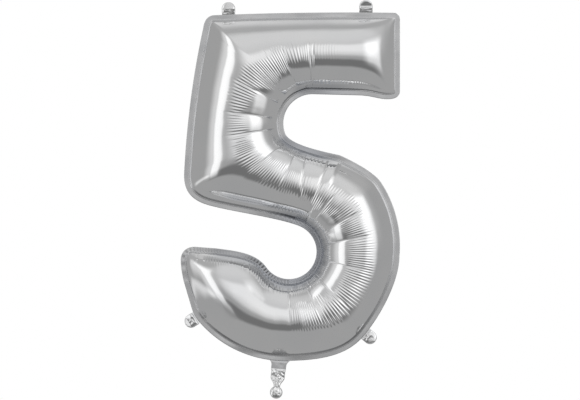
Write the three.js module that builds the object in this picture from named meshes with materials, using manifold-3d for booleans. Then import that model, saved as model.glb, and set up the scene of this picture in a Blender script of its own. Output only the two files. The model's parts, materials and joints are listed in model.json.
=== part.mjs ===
// A foil number balloon in the shape of a 5, blown up.
//
// Two sheets of metallised film, a front and a rear one, are cut to the same figure and heat
// sealed round their edge. The flat seal is the rim. Gas holds the sheets apart inside it. The
// sheets run on past the rim as four hanging tabs and as the inflation neck with its tail. Two
// plies of clear film lie in the neck as the self-sealing valve and reach up into the gas.
//
// Units are millimetres, +Z is up, +X is to the right as the figure is read, and the front
// faces -Y. The seal lies in the plane Y = 0. The outline is drawn with X from the figure's
// leftmost edge and Z from its lowest, and the finished group is moved so that the origin is
// the centre of its bounding box.
import * as THREE from "three";
import { mergeVertices } from "three/addons/utils/BufferGeometryUtils.js";
import Module from "manifold-3d";

const degrees = Math.PI / 180;

// The figure, measured over its rim.
const FIGURE_WIDTH = 542;
const FIGURE_HEIGHT = 860;
const BAR_HEIGHT = 201; // top rim down to the upper bay
const STEM_LEFT = 21; // the stem's left rim beside the upper bay
const STEM_WIDTH = 233; // from there to the upper bay
const UPPER_BAY_R = 72;
const LOWER_BAY_R = 68;
const BOWL_LIMB = 206; // lower bay to the bowl's right rim
const FOOT_HEIGHT = 202; // lowest rim up to the lower bay
const BOWL_CENTRE_X = 256;
const BOWL_LEFT_R = 280;
const BOWL_END = -137 * degrees; // where the round of the bowl stops, seen from its centre
const BOWL_CROWN_DROP = 17; // how far the bowl's unseen crown lies below the upper bay's centre
const BAR_CORNER_R = 15;
const KNEE_IN = 85; // blunt corner of the bowl's rim, from the figure's right edge
const KNEE_UP = 67; // and from its lowest edge

// Film, seal and fill.
const FILM = 0.5; // one sheet's wall
const SEAM_GAP = 0.3; // between the two sheets in the seal
const SEAL_WIDTH = 12;
const INFLATED_DEPTH = 156; // over both sheets, on a limb LIMB_WIDTH wide between its seals
const LIMB_WIDTH = 200;
const LIFT_OFF = 76 * degrees; // slope at which a sheet leaves the seal
const CAP_LENGTH = 145; // how far from an end the limb reaches its full depth
const CAP_POWER = 2; // 2 is a round end and a high value a blunt one

// Hanging tabs: a tongue with a round end, folding on its root just outside the rim.
const TAB_WIDTH = 33;
const TAB_LENGTH = 31; // rim to tip
const TAB_STUB = 2.5; // film that stays with the panel, rim to fold
const FOLD_GAP = 1.6; // free film at a fold, drawn as a gap
const STUB_ROOT = 9; // how far a stub reaches back over the seal

// Neck, tail and valve.
const NECK_X = 244;
const NECK_TILT = 3 * degrees; // the tail hangs this far from plumb, its tip to the left
const NECK_WIDTH = 37;
const NECK_LENGTH = 20; // rim to the tail's fold
const NECK_FLARE = 11; // fillet between the neck and the rim
const TAIL_LENGTH = 42;
const PINCH_WIDTH = 16; // twisted waist above the tail's tip
const TIP_R = 15.5;
const VALVE_PLY = 0.3;
const VALVE_GAP = 0.3; // on each side of a valve ply
const VALVE_WIDTH = 28;
const VALVE_FLAP = 135; // free length above the valve's fold
const VALVE_FOLD = 24; // rim to the valve's fold, inside the balloon
const NECK_HALF_GAP = 2.5 * VALVE_GAP; // room for two plies, each with a gap on either side

// Mesh fineness.
const CURVE_STEP = 4;
const ACROSS = 10;
const BAR_STATIONS = 8;
const STATION_STEP = 24; // along the farther edge of a bay's fan
const FOOT_STATIONS = 16;

const upperBay = new THREE.Vector2(
  STEM_LEFT + STEM_WIDTH + UPPER_BAY_R,
  FIGURE_HEIGHT - BAR_HEIGHT - UPPER_BAY_R,
);
const lowerBay = new THREE.Vector2(
  FIGURE_WIDTH - BOWL_LIMB - LOWER_BAY_R,
  FOOT_HEIGHT + LOWER_BAY_R,
);
const bowlR = (upperBay.y - BOWL_CROWN_DROP) / 2;
const bowlRight = FIGURE_WIDTH - BOWL_CENTRE_X;
const knee = [FIGURE_WIDTH - KNEE_IN, KNEE_UP];

const wasm = await Module();
wasm.setup();

// ---- The figure's two long edges -------------------------------------------------------------

// A point on the bowl's outer ellipse, whose left half has its own radius.
function onBowl(angle) {
  const across = Math.cos(angle) < 0 ? BOWL_LEFT_R : bowlRight;
  return [BOWL_CENTRE_X + across * Math.cos(angle), bowlR + bowlR * Math.sin(angle)];
}

// Top rim, left rim, the waist's underside and round the lower bay to the bowl's end.
function outerRim() {
  const [W, H, R] = [FIGURE_WIDTH, FIGURE_HEIGHT, BAR_CORNER_R];
  const waist = lowerBay.y;
  const path = new THREE.Path();
  path.moveTo(W, H - R);
  path.absarc(W - R, H - R, R, 0, Math.PI / 2);
  path.quadraticCurveTo(W * 0.55, H + 3, 84, H - 6);
  path.quadraticCurveTo(60, H - 7, 56, H - 38);
  path.quadraticCurveTo(STEM_LEFT - 3, H - 210, 8.6, waist + 189);
  path.bezierCurveTo(8.6, waist + 148, 28, waist + 125, 75, waist + 113);
  const start = 68 * degrees;
  const end = 215 * degrees;
  const [x, z] = [
    lowerBay.x + LOWER_BAY_R * Math.cos(start),
    lowerBay.y + LOWER_BAY_R * Math.sin(start),
  ];
  path.bezierCurveTo(140, waist + 96.5, x - 46, z + 19, x, z);
  path.absarc(lowerBay.x, lowerBay.y, LOWER_BAY_R, start, end, true);
  const left = lowerBay.x + LOWER_BAY_R * Math.cos(end);
  path.bezierCurveTo(left - 26, waist - 2, left - 80, waist + 2, left - 125, waist + 8);
  path.lineTo(40, waist + 11.5);
  path.bezierCurveTo(18, waist + 14, 0, waist + 2, 0.5, waist - 22);
  path.bezierCurveTo(1, waist - 40, 4, waist - 58, 8, waist - 74);
  return path;
}

// The bar's underside, round the upper bay, over the shoulder and round the bowl.
function innerRim() {
  const W = FIGURE_WIDTH;
  const under = upperBay.y + UPPER_BAY_R;
  const path = new THREE.Path();
  path.moveTo(W, under + 7);
  path.bezierCurveTo(W, under - 6, W - 12, under - 12.5, W - 30, under - 12.5);
  path.bezierCurveTo(W - 52, under - 13, W - 67, under - 4, W - 102, under - 3);
  path.lineTo(upperBay.x + 43, under - 0.5);
  path.lineTo(upperBay.x, under);
  const end = 200 * degrees;
  path.absarc(upperBay.x, upperBay.y, UPPER_BAY_R, Math.PI / 2, end);
  const [x, z] = [
    upperBay.x + UPPER_BAY_R * Math.cos(end),
    upperBay.y + UPPER_BAY_R * Math.sin(end),
  ];
  const shoulder = [upperBay.x + 68, upperBay.y - 79];
  path.bezierCurveTo(x + 8, z - 25, shoulder[0] - 60, shoulder[1] + 12, ...shoulder);
  const joins = onBowl(33 * degrees);
  path.bezierCurveTo(
    shoulder[0] + 36, shoulder[1] - 17, joins[0] - 16.5, joins[1] + 25, ...joins,
  );
  path.absellipse(
    BOWL_CENTRE_X, bowlR, bowlRight, bowlR, 33 * degrees, -5 * degrees, true,
  );
  const [ax, az] = onBowl(-5 * degrees);
  const [x1, z1] = knee;
  path.bezierCurveTo(ax, az - 56, x1 + 46, z1 + 57, x1, z1);
  path.bezierCurveTo(x1 - 36, z1 - 46, BOWL_CENTRE_X + 110, 0, BOWL_CENTRE_X, 0);
  path.absellipse(
    BOWL_CENTRE_X, bowlR, BOWL_LEFT_R, bowlR, -90 * degrees, BOWL_END, true,
  );
  const [bx, bz] = onBowl(BOWL_END);
  path.bezierCurveTo(bx - 13, bz + 14, bx - 18, bz + 22, bx - 23, bz + 37);
  return path;
}

// Points about CURVE_STEP apart along a path, with no point twice.
function sample(path) {
  const points = [];
  for (const curve of path.curves) {
    const steps = Math.max(2, Math.ceil(curve.getLength() / CURVE_STEP));
    for (const p of curve.getSpacedPoints(steps)) {
      if (!points.length || points.at(-1).distanceTo(p) > 1e-6) points.push(p);
    }
  }
  return points;
}

// Each point moved sideways, to the left of the way the line runs for a positive distance.
function offset(points, distance) {
  return points.map((p, i) => {
    const before = points[Math.max(0, i - 1)];
    const after = points[Math.min(points.length - 1, i + 1)];
    const along = after.clone().sub(before).normalize();
    return new THREE.Vector2(p.x - along.y * distance, p.y + along.x * distance);
  });
}

// Where the ray from origin first meets a line: how far out, and how far along the line.
function crossing(points, origin, direction) {
  let best = null;
  let run = 0;
  for (let i = 0; i + 1 < points.length; i++) {
    const edge = points[i + 1].clone().sub(points[i]);
    const toStart = points[i].clone().sub(origin);
    const turn = direction.cross(edge);
    const reach = toStart.cross(edge) / turn;
    const share = toStart.cross(direction) / turn;
    if (reach > 0 && share >= 0 && share <= 1 && (!best || reach < best.reach)) {
      best = { reach, run: run + share * edge.length() };
    }
    run += edge.length();
  }
  return best;
}

function lengthOf(points) {
  return points.slice(1).reduce((sum, p, i) => sum + p.distanceTo(points[i]), 0);
}

function pointAt(points, run) {
  for (let i = 0; i + 1 < points.length; i++) {
    const step = points[i].distanceTo(points[i + 1]);
    if (run <= step) return points[i].clone().lerp(points[i + 1], run / step);
    run -= step;
  }
  return points.at(-1).clone();
}

function distanceTo(points, p) {
  let best = Infinity;
  for (let i = 0; i + 1 < points.length; i++) {
    const edge = points[i + 1].clone().sub(points[i]);
    const share = p.clone().sub(points[i]).dot(edge) / edge.lengthSq();
    const foot = points[i].clone().addScaledVector(edge, THREE.MathUtils.clamp(share, 0, 1));
    best = Math.min(best, foot.distanceTo(p));
  }
  return best;
}

// ---- Tabs and neck: where each leaves the rim and which way it points ------------------------

const rims = [sample(outerRim()), sample(innerRim())];
const bowlEnd = onBowl(BOWL_END);

// Each one is rooted where a line from a point within the figure along a heading meets the rim.
const tabs = {
  top_left_tab: { from: [119, FIGURE_HEIGHT - 100], heading: 90 * degrees },
  top_right_tab: { from: [FIGURE_WIDTH - 84, FIGURE_HEIGHT - 100], heading: 90 * degrees },
  lower_left_tab: { from: [bowlEnd[0] + 40, bowlEnd[1] + 65], heading: -137 * degrees },
  lower_right_tab: { from: [knee[0] - 144, knee[1] + 139], heading: -44 * degrees },
};
const neck = { from: [NECK_X, 100], heading: -90 * degrees, tilt: NECK_TILT };

// A group at the rim whose own +Z runs square out from it, less the tilt.
function placeAt({ from, heading, tilt = 0 }) {
  const start = new THREE.Vector2(...from);
  const ray = new THREE.Vector2(Math.cos(heading), Math.sin(heading));
  const hits = rims
    .map((rim) => ({ rim, hit: crossing(rim, start, ray) }))
    .filter(({ hit }) => hit)
    .sort((one, other) => one.hit.reach - other.hit.reach);
  const { rim, hit } = hits[0];
  const root = start.addScaledVector(ray, hit.reach);
  const before = pointAt(rim, hit.run - TAB_WIDTH / 2);
  const along = pointAt(rim, hit.run + TAB_WIDTH / 2).sub(before);
  const out = new THREE.Vector2(-along.y, along.x);
  if (out.dot(ray) < 0) out.negate();
  const group = new THREE.Group();
  group.position.set(root.x, 0, root.y);
  group.rotation.y = Math.PI / 2 - out.angle() + tilt;
  group.updateMatrix();
  return group;
}

// ---- The inflated sheet ----------------------------------------------------------------------

const outerSeal = offset(rims[0], SEAL_WIDTH);
const innerSeal = offset(rims[1], -SEAL_WIDTH);

// Lines across the limb, from the outer seal to the inner one, in order along the figure:
// upright through the bar, then fanned about each bay, then spread evenly along the foot.
function stations() {
  const lines = [];
  const add = (a, b) => lines.push([pointAt(outerSeal, a), pointAt(innerSeal, b)]);
  const barEnd = FIGURE_WIDTH - SEAL_WIDTH;
  const barMiddle = (upperBay.y + UPPER_BAY_R + FIGURE_HEIGHT) / 2;
  add(0, 0);
  for (let i = 1; i < BAR_STATIONS; i++) {
    const even = i / BAR_STATIONS;
    const share = 0.25 * even + 0.75 * (1 - Math.cos((Math.PI / 2) * even));
    const origin = new THREE.Vector2(THREE.MathUtils.lerp(barEnd, upperBay.x, share), barMiddle);
    add(
      crossing(outerSeal, origin, new THREE.Vector2(0, 1)).run,
      crossing(innerSeal, origin, new THREE.Vector2(0, -1)).run,
    );
  }
  const between = upperBay.clone().sub(lowerBay).angle();
  const fan = (bay, from, to) => {
    let left = Math.abs(to - from);
    while (left > 0) {
      const angle = to - Math.sign(to - from) * left;
      const ray = new THREE.Vector2(Math.cos(angle), Math.sin(angle));
      const [a, b] = [crossing(outerSeal, bay, ray), crossing(innerSeal, bay, ray)];
      add(a.run, b.run);
      const step = STATION_STEP / Math.max(a.reach, b.reach);
      left -= left < 1.5 * step ? left : step;
    }
  };
  fan(upperBay, Math.PI / 2, between + Math.PI);
  fan(lowerBay, between, -Math.PI / 2);
  const down = new THREE.Vector2(0, -1);
  const from = [outerSeal, innerSeal].map((seal) => crossing(seal, lowerBay, down).run);
  const to = [lengthOf(outerSeal), lengthOf(innerSeal)];
  for (let i = 0; i <= FOOT_STATIONS; i++) {
    const even = i / FOOT_STATIONS;
    const share = 0.6 * even + 0.4 * Math.sin((Math.PI / 2) * even);
    add(
      THREE.MathUtils.lerp(from[0], to[0], share),
      THREE.MathUtils.lerp(from[1], to[1], share),
    );
  }
  return lines;
}

// A sheet's height off the seam's plane, seen across the limb as an arc of a circle.
function arc(share) {
  const slope = Math.asin(Math.min(1, share) * Math.sin(LIFT_OFF));
  return (Math.cos(slope) - Math.cos(LIFT_OFF)) / (1 - Math.cos(LIFT_OFF));
}

function bulge(p, ends) {
  const a = distanceTo(outerSeal, p);
  const b = distanceTo(innerSeal, p);
  let rise = (INFLATED_DEPTH / 2) * Math.sqrt((a + b) / LIMB_WIDTH) * arc(Math.abs(a - b) / (a + b));
  for (const end of ends) {
    const share = Math.max(0, 1 - distanceTo(end, p) / CAP_LENGTH);
    rise *= (1 - share ** CAP_POWER) ** (1 / CAP_POWER);
  }
  return rise;
}

// Half the gap between the sheets, wider round the neck where the valve passes between them.
function halfGap(p) {
  const clear = VALVE_WIDTH * 1.6;
  const away = Math.hypot(p.x - NECK_X, p.y * 0.5);
  const near = 1 - THREE.MathUtils.smoothstep(away, clear, clear * 1.6);
  return SEAM_GAP / 2 + (NECK_HALF_GAP - SEAM_GAP / 2) * near;
}

// The front sheet as one closed solid: outer skin, inner skin, and the cut edge between them.
function sheet() {
  const lines = stations();
  const ends = [lines[0], lines.at(-1)];
  const flat = []; // [x, z] of every vertex, and its height off the seal
  const at = (i, j) => i * (ACROSS + 1) + j;
  for (const [i, [a, b]] of lines.entries()) {
    for (let j = 0; j <= ACROSS; j++) {
      const p = a.clone().lerp(b, (1 - Math.cos((Math.PI * j) / ACROSS)) / 2);
      const edge = j === 0 || j === ACROSS || i === 0 || i === lines.length - 1;
      flat.push({ p, rise: edge ? 0 : bulge(p, ends) });
    }
  }
  const loop = [];
  const last = lines.length - 1;
  for (let i = 0; i < last; i++) loop.push(at(i, 0));
  for (let j = 0; j < ACROSS; j++) loop.push(at(last, j));
  for (let i = last; i > 0; i--) loop.push(at(i, ACROSS));
  for (let j = ACROSS; j > 0; j--) loop.push(at(0, j));
  const rim = loop.map((v, k) => {
    const before = flat[loop[(k + loop.length - 1) % loop.length]].p;
    const after = flat[loop[(k + 1) % loop.length]].p;
    const along = after.clone().sub(before).normalize();
    const out = new THREE.Vector2(along.y, -along.x).multiplyScalar(SEAL_WIDTH);
    flat.push({ p: flat[v].p.clone().add(out), rise: 0 });
    return flat.length - 1;
  });
  const faces = [];
  for (let i = 0; i < last; i++) {
    for (let j = 0; j < ACROSS; j++) {
      faces.push([at(i, j), at(i + 1, j), at(i + 1, j + 1)]);
      faces.push([at(i, j), at(i + 1, j + 1), at(i, j + 1)]);
    }
  }
  for (let k = 0; k < loop.length; k++) {
    const n = (k + 1) % loop.length;
    faces.push([loop[k], rim[k], loop[n]], [rim[k], rim[n], loop[n]]);
  }
  const skin = new THREE.BufferGeometry();
  const outer = flat.flatMap(({ p, rise }) => [p.x, -(halfGap(p) + FILM + rise), p.y]);
  skin.setAttribute("position", new THREE.Float32BufferAttribute(outer, 3));
  skin.setIndex(faces.flat());
  skin.computeVertexNormals();
  const normals = skin.attributes.normal;
  const inner = flat.flatMap(({ p, rise }, v) => [
    p.x - FILM * normals.getX(v),
    -(halfGap(p) + FILM + rise) - FILM * normals.getY(v),
    p.y - FILM * normals.getZ(v),
  ]);
  const back = flat.length;
  const walls = rim.flatMap((v, k) => {
    const n = rim[(k + 1) % rim.length];
    return [v, v + back, n, v + back, n + back, n];
  });
  const solid = new THREE.BufferGeometry();
  solid.setAttribute("position", new THREE.Float32BufferAttribute([...outer, ...inner], 3));
  solid.setIndex([
    ...faces.flat(),
    ...faces.flatMap(([a, b, c]) => [a + back, c + back, b + back]),
    ...walls,
  ]);
  return solid;
}

// ---- Joining with manifold-3d ----------------------------------------------------------------

function toSolid(geometry) {
  const bare = new THREE.BufferGeometry();
  bare.setAttribute("position", geometry.getAttribute("position").clone());
  if (geometry.index) bare.setIndex(geometry.index);
  const merged = mergeVertices(bare, 1e-3);
  return new wasm.Manifold(
    new wasm.Mesh({
      numProp: 3,
      vertProperties: merged.getAttribute("position").array,
      triVerts: new Uint32Array(merged.index.array),
    }),
  );
}

function toGeometry(solid) {
  const mesh = solid.getMesh();
  const geometry = new THREE.BufferGeometry();
  geometry.setAttribute("position", new THREE.BufferAttribute(mesh.vertProperties, 3));
  geometry.setIndex(new THREE.BufferAttribute(mesh.triVerts, 1));
  return geometry;
}

// The same geometry on the other side of the seam's plane.
function mirrored(geometry) {
  const copy = geometry.clone().scale(1, -1, 1);
  const index = copy.index.array;
  for (let i = 0; i < index.length; i += 3) {
    [index[i + 1], index[i + 2]] = [index[i + 2], index[i + 1]];
  }
  return copy;
}

// ---- Flat plies ------------------------------------------------------------------------------

// A flat ply in front of the seam's plane: drawn upright in X and Z, thick along Y.
function ply(shape, thickness, gap, curveSegments = 10) {
  const geometry = new THREE.ExtrudeGeometry(shape, {
    depth: thickness, bevelEnabled: false, curveSegments,
  });
  geometry.rotateX(Math.PI / 2);
  geometry.translate(0, -gap, 0);
  return toGeometry(toSolid(geometry));
}

function strip(width, from, to) {
  const shape = new THREE.Shape();
  shape.moveTo(-width / 2, from);
  shape.lineTo(width / 2, from);
  shape.lineTo(width / 2, to);
  shape.lineTo(-width / 2, to);
  shape.closePath();
  return shape;
}

function tabShape() {
  const [half, from] = [TAB_WIDTH / 2, TAB_STUB + FOLD_GAP];
  const shape = new THREE.Shape();
  shape.moveTo(-half, from);
  shape.lineTo(half, from);
  shape.lineTo(half, TAB_LENGTH - half);
  shape.absarc(0, TAB_LENGTH - half, half, 0, Math.PI);
  shape.closePath();
  return shape;
}

// The neck's short plain stretch, flared where it meets the rim.
function neckShape() {
  const half = NECK_WIDTH / 2;
  const shape = new THREE.Shape();
  shape.moveTo(-half, NECK_LENGTH);
  shape.lineTo(-half, NECK_FLARE);
  shape.quadraticCurveTo(-half, 0, -half - NECK_FLARE, -STUB_ROOT / 2);
  shape.lineTo(half + NECK_FLARE, -STUB_ROOT / 2);
  shape.quadraticCurveTo(half, 0, half, NECK_FLARE);
  shape.lineTo(half, NECK_LENGTH);
  shape.closePath();
  return shape;
}

// The crumpled stretch, drawn in to the twisted waist.
function tailShape() {
  const [half, waist] = [NECK_WIDTH / 2, PINCH_WIDTH / 2];
  const [from, to] = [NECK_LENGTH + FOLD_GAP, NECK_LENGTH + FOLD_GAP + TAIL_LENGTH];
  const shape = new THREE.Shape();
  shape.moveTo(-half, from);
  shape.lineTo(half, from);
  shape.lineTo(half - 2, to - 16);
  shape.quadraticCurveTo(half - 4, to - 6, waist, to);
  shape.lineTo(-waist, to);
  shape.quadraticCurveTo(4 - half, to - 6, 2 - half, to - 16);
  shape.closePath();
  return shape;
}

function tipShape() {
  const [waist, from] = [PINCH_WIDTH / 2, NECK_LENGTH + TAIL_LENGTH + 2 * FOLD_GAP];
  const centre = from + Math.sqrt(TIP_R ** 2 - waist ** 2);
  const opens = Math.asin(waist / TIP_R);
  const shape = new THREE.Shape();
  shape.absarc(0, centre, TIP_R, -Math.PI / 2 + opens, 1.5 * Math.PI - opens);
  shape.closePath();
  return shape;
}

// ---- The assembly ----------------------------------------------------------------------------

const foil = () => new THREE.MeshStandardMaterial({ color: 0xc4c6c8, roughness: 0.16, metalness: 1 });
const clearFilm = () => new THREE.MeshStandardMaterial({
  color: 0xe6ebee, roughness: 0.25, metalness: 0, transparent: true, opacity: 0.45,
});

// A pair of matching nodes, one on each side of the seam's plane.
function pair(parent, frontName, rearName, geometry, material) {
  const front = new THREE.Mesh(geometry, material());
  const rear = new THREE.Mesh(mirrored(geometry), material());
  front.name = frontName;
  rear.name = rearName;
  parent.add(front, rear);
}

function panels(balloon) {
  let front = toSolid(sheet());
  for (const tab of Object.values(tabs)) {
    const stub = ply(strip(TAB_WIDTH, -STUB_ROOT, TAB_STUB), FILM, SEAM_GAP / 2);
    front = front.add(toSolid(stub.applyMatrix4(placeAt(tab).matrix)));
  }
  const neckPly = ply(neckShape(), FILM, NECK_HALF_GAP);
  front = front.add(toSolid(neckPly.applyMatrix4(placeAt(neck).matrix)));
  pair(balloon, "front_panel", "rear_panel", toGeometry(front), foil);
}

function hangingTabs(balloon) {
  for (const [name, tab] of Object.entries(tabs)) {
    const group = placeAt(tab);
    const geometry = ply(tabShape(), FILM, SEAM_GAP / 2);
    pair(group, `${name}_front_ply`, `${name}_rear_ply`, geometry, foil);
    balloon.add(group);
  }
}

function tail(balloon) {
  const group = placeAt(neck);
  const crumpled = ply(tailShape(), FILM, SEAM_GAP / 2);
  pair(group, "tail_front_ply", "tail_rear_ply", crumpled, foil);
  pair(group, "tail_tip_front_ply", "tail_tip_rear_ply", ply(tipShape(), FILM, SEAM_GAP / 2), foil);
  balloon.add(group);
}

function valve(balloon) {
  const group = placeAt(neck);
  const sleeve = strip(VALVE_WIDTH, -VALVE_FOLD, NECK_LENGTH);
  const flap = strip(VALVE_WIDTH, -VALVE_FOLD - FOLD_GAP - VALVE_FLAP, -VALVE_FOLD - FOLD_GAP);
  const lies = VALVE_GAP / 2;
  pair(group, "valve_front_sleeve", "valve_rear_sleeve", ply(sleeve, VALVE_PLY, lies), clearFilm);
  pair(group, "valve_front_flap", "valve_rear_flap", ply(flap, VALVE_PLY, lies), clearFilm);
  balloon.add(group);
}

const balloon = new THREE.Group();
panels(balloon);
hangingTabs(balloon);
tail(balloon);
valve(balloon);

// The origin is the centre of the bounding box, and the seam's plane already is Y = 0.
const box = new THREE.Box3().setFromObject(balloon, true);
const centre = box.getCenter(new THREE.Vector3());
balloon.position.set(-centre.x, 0, -centre.z);

export default balloon;
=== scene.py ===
"""A silver foil balloon in the shape of a 5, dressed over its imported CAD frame.

The figure is drawn in millimetres as the CAD part draws it, with X from its leftmost rim and Z
from its lowest, and is moved to the frame once. Each sheet is one fine grid of lines across the
limb, from the outer seal to the inner one, raised by the gas and then wrinkled as film is:
pleats along the limb's crown, long creases that fan out from the bays, and puckers at the seal.
"""

import json
import math

import bpy
import numpy as np
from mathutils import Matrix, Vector


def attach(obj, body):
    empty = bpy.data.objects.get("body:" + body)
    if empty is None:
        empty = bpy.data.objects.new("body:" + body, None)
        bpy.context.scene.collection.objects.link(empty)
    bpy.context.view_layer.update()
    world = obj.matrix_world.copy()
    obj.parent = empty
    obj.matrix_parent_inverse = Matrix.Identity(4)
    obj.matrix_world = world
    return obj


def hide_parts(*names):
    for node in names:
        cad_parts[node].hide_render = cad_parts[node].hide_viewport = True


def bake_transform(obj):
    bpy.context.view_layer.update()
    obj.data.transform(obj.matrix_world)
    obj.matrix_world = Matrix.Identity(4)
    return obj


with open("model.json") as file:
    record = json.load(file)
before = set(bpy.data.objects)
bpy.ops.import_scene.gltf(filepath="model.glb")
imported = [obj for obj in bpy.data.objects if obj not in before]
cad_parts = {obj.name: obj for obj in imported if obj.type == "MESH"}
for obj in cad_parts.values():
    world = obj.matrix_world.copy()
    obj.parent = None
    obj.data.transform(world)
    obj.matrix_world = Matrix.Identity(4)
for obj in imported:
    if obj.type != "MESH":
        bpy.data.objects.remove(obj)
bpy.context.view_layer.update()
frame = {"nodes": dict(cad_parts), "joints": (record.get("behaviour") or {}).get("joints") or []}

MM = 0.001

# ---- The figure, over its rim ----------------------------------------------------------------

WIDTH = 542
HEIGHT = 860
UPPER_BAY = (326, 587)
UPPER_BAY_R = 72
LOWER_BAY = (268, 270)
LOWER_BAY_R = 68
BOWL = (256, 285)
BOWL_RIGHT_R = 286
BOWL_LEFT_R = 280
BOWL_END = -137  # angle at which the bowl's round stretch ends, by the foot
BAR_CORNER_R = 15
KNEE = (457, 67)
SEAL = 12
FILM = 0.65  # outer face of a sheet's flat seal, off the seal's plane
DEPTH = 160  # over both sheets, on a limb LIMB wide between its seals
LIMB = 200
CAPS = (125, 88)  # how far from the bar's end and the foot's the limb reaches its full depth
CAP_POWER = 2
STEEP_LIFT = 86  # degrees at which the film leaves the seal on the crown's nearer side
EASY_LIFT = 72  # and on its farther side
PUCKER_PITCH = 6.6  # along the seals

# ---- Mesh fineness ---------------------------------------------------------------------------

STATION_STEP = 1.0
ACROSS = 46
RIM_ROWS = (0.12, 0.3, 0.6, 0.88, 1.0)  # shares of the way from the seal to the rim


# ---- Outline ---------------------------------------------------------------------------------


def arc(centre, radii, start, end):
    """Points on an ellipse, anticlockwise if end is the greater, angles in degrees."""
    t = np.radians(np.linspace(start, end, 2 + int(abs(end - start) / 0.7)))
    return np.stack([centre[0] + radii[0] * np.cos(t), centre[1] + radii[1] * np.sin(t)], 1)


def bezier(*points):
    """A quadratic or cubic curve through its first and last point."""
    t = np.linspace(0, 1, 60)[:, None]
    n = len(points) - 1
    terms = [math.comb(n, k) * (1 - t) ** (n - k) * t**k * np.array(p) for k, p in enumerate(points)]
    return sum(terms)


def resample(points, step):
    """The same line with its points evenly spaced."""
    run = run_of(points)
    n = max(2, int(round(run[-1] / step)) + 1)
    even = np.linspace(0, run[-1], n)
    return np.stack([np.interp(even, run, points[:, k]) for k in range(points.shape[1])], 1)


def run_of(points):
    return np.concatenate([[0], np.cumsum(np.linalg.norm(np.diff(points, axis=0), axis=1))])


def join(*runs):
    points = np.concatenate(runs)
    keep = np.concatenate([[True], np.linalg.norm(np.diff(points, axis=0), axis=1) > 1e-6])
    return resample(points[keep], 1.5)


def on(centre, radius, angle):
    """A point on a circle or, with two radii, on an ellipse."""
    rx, rz = radius if isinstance(radius, tuple) else (radius, radius)
    a = math.radians(angle)
    return (centre[0] + rx * math.cos(a), centre[1] + rz * math.sin(a))


def outer_rim():
    """Top rim, left rim, the waist's underside and round the lower bay to the bowl's end."""
    w, h, r, waist = WIDTH, HEIGHT, BAR_CORNER_R, LOWER_BAY[1]
    x, z = on(LOWER_BAY, LOWER_BAY_R, 68)
    left, low = on(LOWER_BAY, LOWER_BAY_R, 215)
    return join(
        arc((w - r, h - r), (r, r), 0, 90),
        bezier((w - r, h), (w * 0.55, h + 3), (84, h - 6)),
        bezier((84, h - 6), (60, h - 7), (56, h - 38)),
        bezier((56, h - 38), (18, h - 210), (8.6, waist + 189)),
        bezier((8.6, waist + 189), (8.6, waist + 148), (28, waist + 125), (75, waist + 113)),
        bezier((75, waist + 113), (140, waist + 96.5), (x - 46, z + 19), (x, z)),
        arc(LOWER_BAY, (LOWER_BAY_R, LOWER_BAY_R), 68, -145),
        bezier((left, low), (left - 26, waist - 2), (left - 80, waist + 2), (left - 125, waist + 8)),
        bezier((40, waist + 11.5), (18, waist + 14), (0, waist + 2), (0.5, waist - 22)),
        bezier((0.5, waist - 22), (1, waist - 40), (4, waist - 58), (8, waist - 74)),
    )


def inner_rim():
    """The bar's underside, round the upper bay, over the shoulder and round the bowl."""
    w, under, right = WIDTH, UPPER_BAY[1] + UPPER_BAY_R, (BOWL_RIGHT_R, BOWL[1])
    bay_end = on(UPPER_BAY, UPPER_BAY_R, 200)
    shoulder = (UPPER_BAY[0] + 68, UPPER_BAY[1] - 79)
    top, side = on(BOWL, right, 33), on(BOWL, right, -5)
    low = on(BOWL, (BOWL_LEFT_R, BOWL[1]), BOWL_END)
    x, z = bay_end
    return join(
        bezier((w, under + 7), (w, under - 6), (w - 12, under - 12.5), (w - 30, under - 12.5)),
        bezier((w - 30, under - 12.5), (w - 52, under - 13), (w - 67, under - 4), (w - 102, under - 3)),
        arc(UPPER_BAY, (UPPER_BAY_R, UPPER_BAY_R), 90, 200),
        bezier(bay_end, (x + 8, z - 25), (shoulder[0] - 60, shoulder[1] + 12), shoulder),
        bezier(shoulder, (shoulder[0] + 36, shoulder[1] - 17), (top[0] - 16.5, top[1] + 25), top),
        arc(BOWL, right, 33, -5),
        bezier(side, (side[0], side[1] - 56), (KNEE[0] + 46, KNEE[1] + 57), KNEE),
        bezier(KNEE, (KNEE[0] - 36, KNEE[1] - 46), (BOWL[0] + 110, 0), (BOWL[0], 0)),
        arc(BOWL, (BOWL_LEFT_R, BOWL[1]), -90, BOWL_END),
        bezier(low, (low[0] - 13, low[1] + 14), (low[0] - 18, low[1] + 22), (low[0] - 23, low[1] + 37)),
    )


def offset(points, distance):
    """The line moved to its own left by a positive distance."""
    along = np.gradient(points, axis=0)
    along /= np.linalg.norm(along, axis=1)[:, None]
    return points + distance * np.stack([-along[:, 1], along[:, 0]], 1)


RIMS = (outer_rim(), inner_rim())
SEALS = (offset(RIMS[0], SEAL), offset(RIMS[1], -SEAL))


def crossings(points, origins, rays):
    """For each ray, the run along the line of the nearest place where it meets the line."""
    edges = np.diff(points, axis=0)
    run = run_of(points)
    found = []
    for origin, ray in zip(origins, rays):
        to_start = points[:-1] - origin
        turn = ray[0] * edges[:, 1] - ray[1] * edges[:, 0]
        turn = np.where(np.abs(turn) < 1e-9, 1e-9, turn)
        reach = (to_start[:, 0] * edges[:, 1] - to_start[:, 1] * edges[:, 0]) / turn
        share = (to_start[:, 0] * ray[1] - to_start[:, 1] * ray[0]) / turn
        hit = (reach > 0) & (share >= 0) & (share <= 1)
        k = np.where(hit, reach, np.inf).argmin()
        found.append(run[k] + share[k] * (run[k + 1] - run[k]))
    return np.array(found)


def at_run(points, runs):
    run = run_of(points)
    return np.stack([np.interp(runs, run, points[:, k]) for k in range(2)], 1)


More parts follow.
